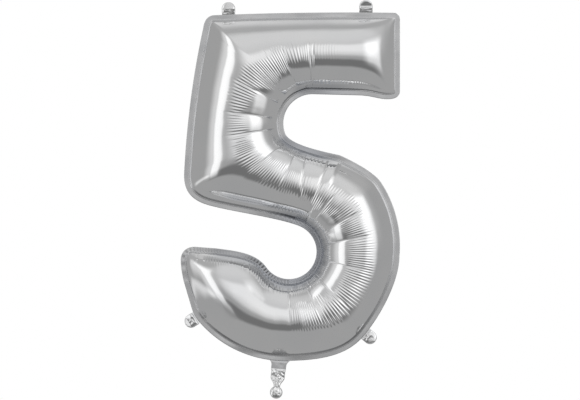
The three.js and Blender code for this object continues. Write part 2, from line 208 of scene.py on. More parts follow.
def stations():
    """Runs along both seals of lines across the limb, upright along the bar, fanned about each
    bay and spread evenly along the foot, and the bay and angle that each line belongs to."""
    outer, inner = SEALS
    bar_middle = (UPPER_BAY[1] + UPPER_BAY_R + HEIGHT) / 2
    rows = [(0.0, 0.0, 0, 90.0)]

    def add(origins, outward, inward, bay, angles):
        a = crossings(outer, origins, outward)
        b = crossings(inner, origins, inward)
        rows.extend(zip(a, b, [bay] * len(a), angles))

    xs = np.linspace(WIDTH - SEAL - 2, UPPER_BAY[0], 100, endpoint=False)
    up = np.tile([0.0, 1.0], (len(xs), 1))
    add(np.stack([xs, np.full_like(xs, bar_middle)], 1), up, -up, 0, [90.0] * len(xs))
    between = math.degrees(math.atan2(UPPER_BAY[1] - LOWER_BAY[1], UPPER_BAY[0] - LOWER_BAY[0]))
    for bay, centre, start, end in ((1, UPPER_BAY, 90, between + 180), (2, LOWER_BAY, between, -90)):
        angles = np.linspace(start, end, int(abs(end - start) / 0.4), endpoint=bay == 2)
        rays = np.stack([np.cos(np.radians(angles)), np.sin(np.radians(angles))], 1)
        add(np.tile(np.array(centre, float), (len(rays), 1)), rays, rays, bay, angles)
    a0, b0 = rows[-1][:2]
    a1, b1 = run_of(outer)[-1], run_of(inner)[-1]
    for even in np.linspace(0, 1, 120)[1:]:
        share = 0.6 * even + 0.4 * math.sin(math.pi / 2 * even)
        rows.append((a0 + (a1 - a0) * share, b0 + (b1 - b0) * share, 3, -90.0 - 50 * even))
    return np.array(rows)


def spread(rows):
    """The stations again, evenly spaced along the limb's middle. Columns: run along the outer
    seal, run along the inner one, and distance along the middle."""
    middle = (at_run(SEALS[0], rows[:, 0]) + at_run(SEALS[1], rows[:, 1])) / 2
    along = run_of(middle)
    even = np.linspace(0, along[-1], int(along[-1] / STATION_STEP))
    a = np.interp(even, along, rows[:, 0])
    b = np.interp(even, along, rows[:, 1])
    return np.stack([a, b, even], 1), along


ROWS = stations()
LINES, ALONG = spread(ROWS)


def limb_at(bay, angle):
    """Distance along the limb's middle of the ray at an angle about a bay."""
    mine = ROWS[:, 2] == bay
    return float(np.interp(-angle if bay == 2 else angle,
                           -ROWS[mine, 3] if bay == 2 else ROWS[mine, 3], ALONG[mine]))


# ---- The inflated surface --------------------------------------------------------------------


def distance(points, line):
    """Distance of each point from a line."""
    starts, edges = line[:-1], np.diff(line, axis=0)
    length = (edges**2).sum(1)
    best = np.empty(len(points))
    for k in range(0, len(points), 2000):
        p = points[k : k + 2000, None, :] - starts[None]
        share = np.clip((p * edges).sum(2) / length, 0, 1)
        best[k : k + 2000] = np.linalg.norm(p - share[..., None] * edges, axis=2).min(1)
    return best


def smooth(values, reach, axis=0):
    """A moving average that keeps the ends in place."""
    n = max(1, int(reach))
    kernel = np.hanning(2 * n + 3)
    kernel /= kernel.sum()
    pad = [(n + 1, n + 1) if k == axis else (0, 0) for k in range(values.ndim)]
    padded = np.pad(values, pad, mode="edge")
    return np.apply_along_axis(lambda v: np.convolve(v, kernel, "valid"), axis, padded)


def ease(x, low, high):
    t = np.clip((x - low) / (high - low), 0, 1)
    return t * t * (3 - 2 * t)


def section(u, crown):
    """A sheet's height across the limb, 0 at both seals and 1 at its crown, which lies nearer the
    side where the limb turns. Each side of the crown is an arc of a circle."""
    far = np.where(u < crown, (crown - u) / crown, (u - crown) / (1 - crown))
    nearer = (u < crown) == (crown < 0.5)
    lift = np.where(nearer, STEEP_LIFT, EASY_LIFT) * math.pi / 180
    slope = np.arcsin(np.clip(far, 0, 1) * np.sin(lift))
    return (np.cos(slope) - np.cos(lift)) / (1 - np.cos(lift))


def noise(shape, cells, seed):
    """Smooth random values from -1 to 1 over a grid."""
    rng = np.random.default_rng(seed)
    grid = rng.uniform(-1, 1, (cells[0] + 2, cells[1] + 2))
    i = np.linspace(0, cells[0], shape[0])
    j = np.linspace(0, cells[1], shape[1])
    i0, j0 = i.astype(int), j.astype(int)
    ti = (i - i0)[:, None]
    tj = (j - j0)[None]
    ti, tj = ti * ti * (3 - 2 * ti), tj * tj * (3 - 2 * tj)
    g = grid[i0][:, j0], grid[i0 + 1][:, j0], grid[i0][:, j0 + 1], grid[i0 + 1][:, j0 + 1]
    return (g[0] * (1 - ti) + g[1] * ti) * (1 - tj) + (g[2] * (1 - ti) + g[3] * ti) * tj


def shares_across():
    """Places across the limb from the outer seal to the inner one, closer together at both."""
    j = np.arange(ACROSS + 1) / ACROSS
    return 0.45 * j + 0.55 * (1 - np.cos(np.pi * j)) / 2


def surface():
    """The sheet's grid seen from the front, and the distance of each of its points from the outer
    seal, from the inner seal and from the limb's two ends."""
    a = at_run(SEALS[0], LINES[:, 0])
    b = at_run(SEALS[1], LINES[:, 1])
    plan = a[:, None] + (b - a)[:, None] * shares_across()[None, :, None]
    flat = plan.reshape(-1, 2)
    outer, inner, foot = without_corner()
    da = smooth(distance(flat, outer).reshape(plan.shape[:2]), 26)
    db = smooth(distance(flat, inner).reshape(plan.shape[:2]), 13)
    ends = [distance(flat, e).reshape(plan.shape[:2]) for e in (np.array([a[0], b[0]]), foot)]
    ends[1] = np.where(ends[1] < 3, ends[1], smooth(smooth(ends[1], 24), 4, 1))
    da[:, 0] = np.where(ends[1][:, 0] < 0.5, da[:, 0], 0)
    db[:, -1] = np.where(ends[1][:, -1] < 0.5, db[:, -1], 0)
    return plan, da, db, ends


def without_corner():
    """Both seals run straight on past the foot's rounded corners, and the foot's end with them."""
    outer, inner = (resample(s, 4) for s in SEALS)
    corner, beyond = 46, 150  # X where the outer seal starts to turn, and how far both run on
    half = len(outer) // 2
    i = half + np.abs(outer[half:, 0] - corner).argmin()
    j = np.linalg.norm(inner - on(BOWL, (BOWL_LEFT_R, BOWL[1]), BOWL_END), axis=1).argmin()
    foot = np.concatenate([outer[i:], inner[j:][::-1]])
    longer = []
    for line, k in ((outer, i), (inner, j)):
        ahead = (line[k] - line[k - 3]) / np.linalg.norm(line[k] - line[k - 3])
        longer.append(np.concatenate([line[: k + 1], (line[k] + beyond * ahead)[None]]))
    return longer[0], longer[1], foot


GRID = surface()


def inflate(plan, da, db, ends):
    """How far the gas lifts each point, its share of the way across, and the limb's turn there."""
    reach = da + db
    u = da / reach
    s = LINES[:, 2]
    hub = crown_side(s)[:, None]
    crown = 0.5 + 0.01 * hub
    rise = DEPTH / 2 * np.sqrt(reach / LIMB) * section(u, np.broadcast_to(crown, u.shape))
    for e, cap in zip(ends, CAPS):
        share = np.clip(1 - e / cap, 0, 1)
        rise = rise * (1 - share**CAP_POWER) ** (1 / CAP_POWER)
    # Soften the ridges that run in from the corners.
    inward = ease(np.minimum(np.minimum(da, db), np.minimum(*ends)), 6, 34)
    at_foot = ease(s, s[-1] - 190, s[-1] - 90)[:, None]
    softer = smooth(smooth(rise, 36), 3, 1)
    rise = rise + (smooth(rise, 30) * (1 - at_foot) + softer * at_foot - rise) * inward
    return rise, u, hub


def crown_side(s):
    """+1 where the limb turns about the upper bay, whose side is the inner seal, -1 where it
    turns about the lower one, in between along the waist, and 0.35 at the bar's far end."""
    start, turn, end = limb_at(1, 90), limb_at(1, 250), limb_at(2, 40)
    bar = ease(s, start - 220, start - 20)
    return 0.35 + 0.65 * bar - 1.65 * ease(s, turn, end)


# Long creases by the bay that they fan out from and their angle about it.
CREASES = (
    (1, 76), (1, 93), (1, 113), (1, 135), (1, 151), (1, 173), (1, 189), (1, 217), (1, 241),
    (2, 80), (2, 66), (2, 52), (2, 30), (2, 12), (2, -13), (2, -42), (2, -64), (2, -90), (2, -112),
)

# The band of pleats by bay and angle: its distances from the bay's rim, nearer and farther, and
# the pleats' height either way, in millimetres.
PLEATS = (
    (0, 90, 92, 116, 0.0), (1, 90, 84, 121, 0.3), (1, 112, 82, 134, 0.4), (1, 135, 64, 145, 0.58),
    (1, 158, 99, 139, 0.42), (1, 180, 101, 133, 0.3), (1, 200, 88, 132, 0.4), (1, 225, 76, 130, 0.36),
    (2, 88, 54, 120, 0.27), (2, 60, 56, 120, 0.3), (2, 35, 78, 140, 0.42), (2, 0, 82, 138, 0.3),
    (2, -32, 84, 142, 0.55), (2, -60, 66, 138, 0.55), (2, -90, 62, 124, 0.34), (2, -112, 62, 100, 0.0),
)


# How far apart the pleats stand along the limb's middle, by bay and angle.
PITCH = ((1, 90, 6.8), (1, 180, 7.4), (2, 88, 6.6), (2, 50, 6.0), (2, 5, 5.4), (2, -40, 7.0), (2, -90, 6.2))


def pleat_band():
    """For each station, both ends of the pleats as shares across the limb, and their height."""
    wide = np.linalg.norm(at_run(SEALS[0], LINES[:, 0]) - at_run(SEALS[1], LINES[:, 1]), axis=1)
    knots = []
    for bay, angle, nearer, farther, height in PLEATS:
        at = limb_at(1, 90) - 95 if bay == 0 else limb_at(bay, angle)
        w = np.interp(at, LINES[:, 2], wide)
        one, two = (nearer - SEAL) / w, (farther - SEAL) / w
        knots.append((at, one, two, height) if bay == 2 else (at, 1 - two, 1 - one, height))
    knots = np.array(knots)
    return [smooth(np.interp(LINES[:, 2], knots[:, 0], knots[:, k]), 16)[:, None] for k in (1, 2, 3)]


def wrinkles(u, da, db, hub, seed):
    """How far the film stands off the smooth sheet, in millimetres."""
    s = LINES[:, 2][:, None]
    upper = ease(hub, -0.25, 0.25)  # 1 where the limb turns about the upper bay
    near = np.where(hub > 0, db, da)
    low, high, height = pleat_band()
    off = pleats(s, u, upper, low, high, height, seed)
    middle = (low + high) / 2
    off = off + creases(s, u, upper, middle, near, seed)
    off = off + puckers(s, da, db, seed)
    off = off + 0.35 * noise(u.shape, (26, 4), seed + 5) * ease(near, 0, 30)
    return off + 0.08 * noise(u.shape, (110, 9), seed + 6) * ease(near, 0, 20)


def along_only(count, cells, seed):
    """Smooth random values that vary along the limb and not across it."""
    return noise((count, 3), (cells, 1), seed)[:, :1]


def pleats(s, u, upper, low, high, height, seed):
    """Pleats along the crown, ragged at both ends and sharper at the one away from the bay."""
    count = len(s)
    wander = along_only(count, 46, seed + 1)
    pitch = np.interp(s[:, 0], *zip(*[(limb_at(bay, angle), apart) for bay, angle, apart in PITCH]))
    turns = np.cumsum((s[1, 0] - s[0, 0]) / pitch)[:, None]
    phase = 2 * np.pi * turns + 4 * wander + 0.4 * noise(u.shape, (90, 2), seed + 2)
    ragged = along_only(count, 260, seed + 7) * 0.03
    onto_waist = ease(s, limb_at(1, 205), limb_at(1, 225))
    waist = onto_waist * (1 - ease(s, limb_at(2, 70), limb_at(2, 50)))
    soft_low = 0.02 + 0.02 * (1 - upper) + 0.05 * waist
    soft_high = 0.02 + 0.02 * upper
    band = ease(u, low + ragged - soft_low, low + ragged + soft_low)
    band = band * (1 - ease(u, high - ragged - soft_high, high - ragged + soft_high))
    strength = 0.9 + 0.3 * along_only(count, 150, seed + 3)
    return height * band * strength * np.cos(phase)


def creases(s, u, upper, middle, near, seed):
    """Long creases from the pleats to the bay, with the film bellied between them."""
    rng = np.random.default_rng(seed)
    margin = 34  # from the first and last crease to where the bellies end
    at = np.sort([limb_at(*c) for c in CREASES])
    bend = rng.uniform(-3, 3, len(at))
    at = np.concatenate([[at[0] - margin], at, [at[-1] + margin]])
    bend = np.concatenate([[0], bend, [0]])
    toward = upper * u + (1 - upper) * (1 - u)
    edge = upper * middle + (1 - upper) * (1 - middle)
    bow = np.sin(np.pi * np.clip((toward - edge) / (1 - edge), 0, 1))
    places = at[None, None, :] + bend[None, None, :] * bow[..., None]
    gap = s[..., None] - places
    k = np.clip((gap > 0).sum(2) - 1, 0, len(at) - 2)
    start = np.take_along_axis(places, k[..., None], 2)[..., 0]
    end = np.take_along_axis(places, k[..., None] + 1, 2)[..., 0]
    share = np.clip((s - start) / (end - start), 0, 1)
    belly = 4 * share * (1 - share)
    inside = (s > places[..., 0]) & (s < places[..., -1])
    reach_in = ease(toward, edge - 0.24, edge + 0.1) * ease(near, 0, 16)
    amount = rng.uniform(1.3, 2.4, len(at))
    lean = rng.uniform(-1.2, 1.2, len(at))
    amount[[0, -2]] *= 0.35  # the first and last belly are slight
    lean[[0, -2]] = 0
    height = amount[k] + lean[k] * (toward - edge - 0.2) * 2.5
    nearest = np.abs(gap[..., 1:-1]).min(2)
    groove = np.exp(-nearest / 1.5) * ease(toward, edge - 0.17, edge + 0.02) * ease(near, 2, 9)
    return belly * inside * reach_in * height - 1.1 * groove


def puckers(s, da, db, seed):
    """Puckers and a small roll beside the seals where the limb turns hardest."""
    count = len(s)
    by_inner = 22 - 5 * ease(s, limb_at(1, 130), limb_at(1, 200))
    by_outer = 9 + 10 * ease(s, limb_at(2, 92), limb_at(2, 62))
    drift = along_only(count, 90, seed + 4)
    fine = np.cos(2 * np.pi * s / PUCKER_PITCH + 7 * drift)
    uneven = 0.75 + 0.5 * along_only(count, 120, seed + 8)
    off = 0
    for near_seal, weights, roll in ((db, inner_puckers(s), by_inner), (da, outer_puckers(s), by_outer)):
        close = np.exp(-(((near_seal - 11) / 9) ** 2)) * ease(near_seal, 0, 6)
        off = off + 0.8 * fine * close * uneven * weights
        line = roll + 2 * along_only(count, 60, seed + 9)
        off = off + weights * (1.1 + 0.5 * fine) * np.exp(-(((near_seal - line) / 3.2) ** 2))
    return off


def inner_puckers(s):
    """Share of full puckering beside the inner seal: the bar's underside, and again from the
    upper bay's foot to the shoulder."""
    bar_end = limb_at(1, 90)
    first = ease(s, bar_end - 150, bar_end - 40) * (1 - ease(s, limb_at(1, 108), limb_at(1, 128)))
    second = ease(s, limb_at(1, 196), limb_at(1, 212)) * (1 - ease(s, limb_at(2, 74), limb_at(2, 58)))
    return 0.7 * first + second


def outer_puckers(s):
    """The same beside the outer seal: the waist's underside, the lower bay and the foot."""
    weaker = 0.4 * ease(s, limb_at(2, -110), limb_at(2, -90) + 150)
    return ease(s, limb_at(1, 238), limb_at(2, 84)) * (1 - weaker)


def normals_of(points):
    along = np.gradient(points, axis=0)
    across = np.gradient(points, axis=1)
    n = np.cross(along, across)
    n /= np.linalg.norm(n, axis=2)[..., None] + 1e-12
    return np.where(n[..., 1:2] > 0, -n, n)


ORIGIN = np.array([-271.43, 0, -399.18])  # the figure's X 0, Z 0 in the frame


def sheet(seed):
    """The front sheet's grid of points between its seals, in millimetres in the frame."""
    plan, da, db, ends = GRID
    rise, u, hub = inflate(plan, da, db, ends)
    skin = np.stack([plan[..., 0], -FILM - rise, plan[..., 1]], 2)
    off = wrinkles(u, da, db, hub, seed)
    fade = ease(np.minimum(da, db), 0, 12)
    for e in ends:
        fade = fade * ease(e, 0, 30)
    skin = skin + normals_of(skin) * (off * fade)[..., None]
    return skin + ORIGIN


def rim_line():
    """The rim points that go with the seal's loop, and the loop itself as grid places."""
    n, m = len(LINES), ACROSS
    a = match(0, LINES[:, 0])
    b = match(1, LINES[:, 1])
    loop, rim = [], []
    u = shares_across()
    for i in range(n - 1):
        loop.append((i, 0))
        rim.append(a[i])
    for k in range(m):
        loop.append((n - 1, k))
        rim.append(a[-1] + (b[-1] - a[-1]) * u[k])
    for i in range(n - 1, 0, -1):
        loop.append((i, m))
        rim.append(b[i])
    for k in range(m, 0, -1):
        loop.append((0, k))
        rim.append(a[0] + (b[0] - a[0]) * u[k])
    return loop, np.array(rim)


def match(side, runs):
    """The rim's point beside each place on a seal."""
    seal_run = run_of(SEALS[side])
    return np.stack([np.interp(runs, seal_run, RIMS[side][:, k]) for k in range(2)], 1)


def wave(points):
    """How far the flat rim waves off the seal's plane, by place, in millimetres."""
    x, z = points[..., 0], points[..., 1]
    return 0.3 * np.sin(x / 26 + 2 * np.sin(z / 41)) + 0.3 * np.sin(z / 22 + 1.7 * np.sin(x / 37))


def panel(name, seed, mirror):
    """A whole sheet: the inflated skin, its flat rim and the rim's turned edge."""
    skin = sheet(seed)
    n, m = skin.shape[:2]
    loop, rim = rim_line()
    verts = [skin.reshape(-1, 3)]
    index = [[i * m + j for i, j in loop]]
    seal = skin[tuple(np.array(loop).T)]
    edge = np.stack([rim[:, 0] + ORIGIN[0], np.zeros(len(rim)), rim[:, 1] + ORIGIN[2]], 1)
    total = n * m
    s = LINES[[i for i, j in loop], 2]
    at_inner = np.array([j == m for i, j in loop])
    at_outer = np.array([j == 0 for i, j in loop])
    puckered = inner_puckers(s) * at_inner + outer_puckers(s) * at_outer
    puckered = puckered * np.cos(2 * np.pi * s / PUCKER_PITCH + 9 * np.sin(s / 83) + seed)
    for k, share in enumerate(RIM_ROWS + (1.0,)):
        row = seal + (edge - seal) * share
        last = k == len(RIM_ROWS)
        sway = wave(row[:, [0, 2]]) * ease(share, 0, 0.8) + 0.55 * puckered * (1 - 0.4 * share)
        row[:, 1] = (0.0 if last else -FILM) + sway * (-1 if mirror else 1)
        verts.append(row)
        index.append(list(range(total, total + len(row))))
        total += len(row)
    verts = np.concatenate(verts)
    grid = np.arange(n * m).reshape(n, m)
    quads = np.stack([grid[:-1, :-1], grid[1:, :-1], grid[1:, 1:], grid[:-1, 1:]], 2).reshape(-1, 4)
    strips = []
    for one, two in zip(index, index[1:]):
        one, two = np.array(one), np.array(two)
        strips.append(np.stack([one, two, np.roll(two, -1), np.roll(one, -1)], 1))
    faces = np.concatenate([quads, *strips])
    if mirror:
        verts = verts * [1, -1, 1]
        faces = faces[:, ::-1]
    made = mesh_object(name, verts * MM, faces)
    rim_faces = np.zeros(len(faces), dtype=np.int32)
    rim_faces[len(quads) :] = 1
    made.data.polygons.foreach_set("material_index", rim_faces)
    # This point attribute carries painted shade: it darkens the foil's colour beside the puckered seals.
    painted_shade = made.data.attributes.new("painted_shade", "FLOAT", "POINT")
    painted_shade.data.foreach_set("value", painted_shade_by_point(len(verts), n, m, loop, index).astype(np.float32))
    return made


def painted_shade_by_point(count, n, m, loop, index):
    """How much painted shade the foil gets, from 0 to 1: beside the seals where the film puckers, standing
    for the dark reflections deep in those folds.
    """
    _, da, db, ends = GRID
    s = LINES[:, 2][:, None]
    amount = inner_puckers(s) * (1 - ease(db, 7, 19)) + outer_puckers(s) * (1 - ease(da, 7, 19))
    far = np.minimum(ease(ends[0], 10, 40), ease(ends[1], 10, 60))
    amount = np.clip(amount, 0, 1) * far
    values = np.zeros(count)
    values[: n * m] = amount.reshape(-1)
    for row in index[1:]:
        values[row] = [amount[i, j] for i, j in loop]
    return values


def mesh_object(name, verts, faces):
    mesh = bpy.data.meshes.new(name)
    mesh.from_pydata(verts.tolist(), [], faces.tolist())
    mesh.validate()
    mesh.shade_smooth()
    made = bpy.data.objects.new(name, mesh)
    bpy.context.scene.collection.objects.link(made)
    return made


# ---- Tabs, neck and tail ---------------------------------------------------------------------


def rooted(joint, beyond):
    """A flap's own frame, from its fold line that far beyond the rim: the point where it leaves
    the rim, the direction along the fold and the direction out."""
    fold = next(j for j in frame["joints"] if j["name"] == joint)
    across = Vector(fold["axis"])
    out = Vector((-across.z, 0, across.x))
    if out.dot(Vector(fold["pos_m"])) < 0:
        across, out = -across, -out
    return Vector(fold["pos_m"]) - out * beyond * MM, across, out


def crumple(shape, cells, seed):
    """Sharp ridges and hollows of crushed film, from -1 to 1."""
    coarse = 1 - 2 * np.abs(noise(shape, cells, seed))
    fine = 1 - 2 * np.abs(noise(shape, (2 * cells[0] + 1, 2 * cells[1] + 1), seed + 50))
    return 0.7 * coarse + 0.3 * fine


def flap(name, place, out, half, lift, side):
    """One ply of a flap. out and half are its rows' distances from the rim and half widths, and
    lift how far each point of its grid stands off the seal's plane, all in millimetres."""
    root, across, away = place
    rows, columns = lift.shape
    t = np.linspace(-1, 1, columns)
    flat = np.array(root)[None, None] / MM
    flat = flat + np.array(across) * (half[:, None] * t)[..., None] + np.array(away) * out[:, None, None]
    sway = wave(flat[..., [0, 2]] - ORIGIN[[0, 2]]) * (1 - ease(out, 4, 20))[:, None]
    flat[..., 1] = sway - side * lift
    grid = np.arange(rows * columns).reshape(rows, columns)
    quads = np.stack([grid[:-1, :-1], grid[1:, :-1], grid[1:, 1:], grid[:-1, 1:]], 2).reshape(-1, 4)
    if side < 0:
        quads = quads[:, ::-1]
    return mesh_object(name, flat.reshape(-1, 3) * MM, quads)


TAB_HALF = 16.5
TAB_OUT = 31
TAB_FOLD = 3.3  # a tab's fold line, beyond the rim
ROOT = 8  # how far a tab starts back under the seal


# Each tab, its seed, and how it curls toward the front by distance from the rim.
TABS = (
    ("top_left_tab", 21, ((0, 0), (6, 0.2), (9, 0.3), (14.5, 2.2), (31, -1.8))),
    ("top_right_tab", 34, ((0, 0), (8, 0.9), (12, 2.4), (16, 0.6), (31, 4.8))),
    ("lower_left_tab", 47, ((0, 0), (4, 1.8), (21, -2.8), (31, -0.6))),
    ("lower_right_tab", 58, ((0, 0), (5, 0.9), (14, 0.2), (31, 0.6))),
)


def tab(name, seed, curls):
    """Both plies of a tab: a small pillow of film, curled and creased by handling."""
    place = rooted(f"{name}_fold", TAB_FOLD)
    out = np.linspace(-ROOT, TAB_OUT, 60)
    end = TAB_OUT - TAB_HALF
    half = TAB_HALF * np.sqrt(np.clip(1 - (np.clip(out - end, 0, None) / TAB_HALF) ** 2, 0, 1))
    t = np.linspace(-1, 1, 44)[None]
    shape = (len(out), t.shape[1])
    free = ease(out, 0, 7)[:, None]
    body = (1 - t**2) ** 0.5 * np.sqrt(half / TAB_HALF)[:, None]
    curl = smooth(np.interp(out, *np.array(curls, float).T), 2)[:, None] * (0.75 + 0.25 * body)
    curl = curl + 0.9 * noise(shape, (2, 2), seed + 9) * free
    for side, ply in ((1, "front"), (-1, "rear")):
        creased = crumple(shape, (3, 2), seed + side) * (1 - 0.6 * ease(out, 9, 18))[:, None]
        puffed = np.maximum(0.45 + free * body * (2.6 + 1.5 * creased), 0.2)
        piece = flap(f"{name}_{ply}", place, out, half, puffed + side * curl, side)
        piece.data.materials.append(crushed_foil)
        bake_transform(piece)
        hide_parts(f"{name}_{ply}_ply")


NECK_HALF = 18.5
NECK_OUT = 20.8  # the tail's fold
WAIST_OUT = 64.4  # the twisted waist
WAIST_HALF = 8
TIP_R = 15.5
TIP_MIDDLE = 78.5


def tail_body(place, t, ring):
    """Both plies of the neck with the crushed tail below it, drawn in to the twisted waist."""
    out = np.linspace(-4.5, WAIST_OUT, 110)
    gather = ease(out, 42, 62)
    half = NECK_HALF + 11 * (np.clip(11 - out, 0, None) / 15.5) ** 2
    half = half + (WAIST_HALF - NECK_HALF) * gather - 1.2 * ease(out, 22, 27) * (1 - gather)
    down = out[:, None]
    gather = gather[:, None]
    shape = (len(out), t.shape[1])
    for side, ply in ((1, "front"), (-1, "rear")):
        crushed = crumple(shape, (8, 3), 70 + side) * ease(down, 20, 27)
        folds = down / 13 + 0.8 * side * t
        drape = np.cos(2 * np.pi * folds + 2 * noise(shape, (4, 2), 60 + side))
        ribs = np.cos(3.1 * np.pi * t + 1.2 * side + 3 * noise(shape, (5, 1), 80 + side))
        lift = 0.5 + 0.75 * ease(down, -1, 5) * ring**0.4
        lift = lift + 0.35 * noise(shape, (6, 3), 90 + side) * ring * ease(down, 2, 12)
        lift = lift + ring * (2.6 * ease(down, 19, 34) + 2.4 * gather)
        rough = 2.0 * crushed + 0.8 * drape * ease(down, 22, 34)
        lift = lift + rough * ring * (1 - 0.5 * gather)
        lift = lift + 0.9 * ribs * ring * ease(down, 26, 52)
        hang = -3.4 * np.sin(np.pi * np.clip((down - 21) / 40, 0, 1)) ** 2
        piece = flap(f"tail_{ply}", place, out, half, np.maximum(lift, 0.3) + side * hang, side)
        piece.data.materials.append(crushed_foil)
        piece.data.materials.append(seal_foil)
        sealed = np.repeat(out[:-1] < 19, lift.shape[1] - 1).astype(np.int32)
        piece.data.polygons.foreach_set("material_index", sealed)
        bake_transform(piece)
        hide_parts(f"tail_{ply}_ply")


def tail_tip(place, t, ring):
    """Both plies of the round tip below the twist."""
    disc = TIP_MIDDLE + TIP_R * np.sin(np.linspace(-0.884, 1.5707, 64))
    out = np.concatenate([np.linspace(WAIST_OUT - 5, 66.5, 16), disc])
    half = np.sqrt(np.clip(TIP_R**2 - (out - TIP_MIDDLE) ** 2, 0.001, None))
    tucked = 0.3 * ease(-out, -WAIST_OUT, 5 - WAIST_OUT)  # its end lies inside the tail's
    half = np.maximum(half, WAIST_HALF * (1 - ease(out, 67, 75)) - tucked)
    shape = (len(out), t.shape[1])
    fullness = np.sqrt(np.clip(half / TIP_R, 0, 1))[:, None]
    for side, ply in ((1, "front"), (-1, "rear")):
        ribs = np.cos(3.1 * np.pi * t + 1.2 * side) * (1 - ease(out, 66, 84))[:, None]
        crushed = crumple(shape, (4, 3), 100 + side) * ease(out, 66, 74)[:, None]
        lift = 0.3 + ring * fullness * (5.4 + 0.9 * ribs + 1.0 * crushed)
        piece = flap(f"tail_tip_{ply}", place, out, half, np.maximum(lift, 0.25), side)
        piece.data.materials.append(crushed_foil)
        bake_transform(piece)
        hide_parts(f"tail_tip_{ply}_ply")


def tail():
    place = rooted("tail_fold", NECK_OUT)
    t = np.linspace(-1, 1, 64)[None]
    ring = (1 - t**2) ** 0.5
    tail_body(place, t, ring)
    tail_tip(place, t, ring)


# ---- Materials -------------------------------------------------------------------------------


class Nodes:
    """A material's shader and the textures that feed it."""

    def __init__(self, name):
        self.material = bpy.data.materials.new(name)
        self.material.use_nodes = True
        self.tree = self.material.node_tree
        self.shader = self.tree.nodes["Principled BSDF"]
        self.place = self.tree.nodes.new("ShaderNodeTexCoord").outputs["Object"]
        # Reads the point attribute that lays painted shade beside the puckered seals.
        self.painted_shade = self.tree.nodes.new("ShaderNodeAttribute")
        self.painted_shade.attribute_name = "painted_shade"

    def set(self, socket, value):
        target = self.shader.inputs[socket]
        if isinstance(value, bpy.types.NodeSocket):
            self.tree.links.new(value, target)
        else:
            target.default_value = value

    def stretched(self, scale):
        node = self.tree.nodes.new("ShaderNodeMapping")
        node.inputs["Scale"].default_value = scale
        self.tree.links.new(self.place, node.inputs["Vector"])
        return node.outputs["Vector"]

    def noise(self, scale, detail, stretch=None):
        node = self.tree.nodes.new("ShaderNodeTexNoise")
        node.inputs["Scale"].default_value = scale
        node.inputs["Detail"].default_value = detail
        place = self.stretched(stretch) if stretch else self.place
        self.tree.links.new(place, node.inputs["Vector"])
        return node.outputs["Fac"]

    def between(self, value, low, high):
        """A noise, which mostly runs from 0.3 to 0.7, brought to another range."""
        node = self.tree.nodes.new("ShaderNodeMapRange")
        node.inputs["From Min"].default_value = 0.3
        node.inputs["From Max"].default_value = 0.7
        node.inputs["To Min"].default_value = low
        node.inputs["To Max"].default_value = high
        self.tree.links.new(value, node.inputs["Value"])
        return node.outputs["Result"]

    def times(self, one, factor):
        node = self.tree.nodes.new("ShaderNodeMath")
        node.operation = "MULTIPLY"
        self.tree.links.new(one, node.inputs[0])
        node.inputs[1].default_value = factor
        return node.outputs[0]

    def add(self, one, two):
        node = self.tree.nodes.new("ShaderNodeMath")
        self.tree.links.new(one, node.inputs[0])
        self.tree.links.new(two, node.inputs[1])
        return node.outputs[0]

    def mix(self, factor, one, two):
        """A blend of two colours, each a colour or another node's output."""
        node = self.tree.nodes.new("ShaderNodeMix")
        node.data_type = "RGBA"
        self.tree.links.new(factor, node.inputs["Factor"])
        for end, colour in (("A", one), ("B", two)):
            socket = next(i for i in node.inputs if i.name == end and i.type == "RGBA")
            if isinstance(colour, bpy.types.NodeSocket):
                self.tree.links.new(colour, socket)
            else:
                socket.default_value = (*colour, 1)
        return next(o for o in node.outputs if o.type == "RGBA")

    def tones(self, value, dark, light):
        return self.mix(self.between(value, 0, 1), dark, light)

    def bump(self, height, distance, strength):
        node = self.tree.nodes.new("ShaderNodeBump")
        node.inputs["Strength"].default_value = strength
        node.inputs["Distance"].default_value = distance
        self.tree.links.new(height, node.inputs["Height"])
        self.set("Normal", node.outputs["Normal"])


def foil(name, rough, haze, bump):
    """Vacuum-coated film: mirror-like, with the haze of handling, faint roller marks across it
    and a fine unevenness."""
    look = Nodes(name)
    look.set("Metallic", 1.0)
    clean = look.tones(look.noise(9, 4), (0.835, 0.84, 0.85), (0.88, 0.88, 0.88))
    # Painted shade: the colour darkens to a blue-grey where the film puckers beside the seals.
    look.set("Base Color", look.mix(look.painted_shade.outputs["Fac"], clean, (0.5, 0.515, 0.545)))
    smudges = look.between(look.noise(14, 5), rough, rough + haze)
    marks = look.between(look.noise(60, 3, (1, 1, 0.03)), -haze / 4, haze / 4)
    look.set("Roughness", look.add(smudges, marks))
    look.bump(look.add(look.noise(120, 4), look.noise(34, 2)), 0.0004, bump)
    return look.material


def seal():
    """The same film where it is pressed to the other sheet: dulled by the hot die's fine grain."""
    look = Nodes("foil_seal")
    look.set("Metallic", 1.0)
    clean = look.tones(look.noise(30, 4), (0.565, 0.57, 0.58), (0.635, 0.635, 0.64))
    # Painted shade again: the seal's colour darkens where it puckers, and its roughness drops there.
    look.set("Base Color", look.mix(look.painted_shade.outputs["Fac"], clean, (0.44, 0.45, 0.475)))
    sharper = look.times(look.painted_shade.outputs["Fac"], -0.16)
    look.set("Roughness", look.add(look.between(look.noise(70, 5), 0.22, 0.32), sharper))
    look.bump(look.add(look.noise(420, 2), look.noise(120, 3)), 0.0004, 0.05)
    return look.material


def clear():
    """The valve's soft clear film."""
    look = Nodes("clear_film")
    look.set("Base Color", look.tones(look.noise(40, 3), (0.86, 0.9, 0.92), (0.95, 0.97, 0.98)))
    look.set("Roughness", look.between(look.noise(60, 4), 0.12, 0.3))
    look.set("Transmission Weight", 0.9)
    look.set("IOR", 1.49)
    look.bump(look.noise(90, 3), 0.0004, 0.3)
    return look.material


bright_foil = foil("foil_bright", 0.045, 0.05, 0.06)
crushed_foil = foil("foil_crushed", 0.08, 0.1, 0.15)
seal_foil = seal()
clear_film = clear()

# ---- Pieces ----------------------------------------------------------------------------------

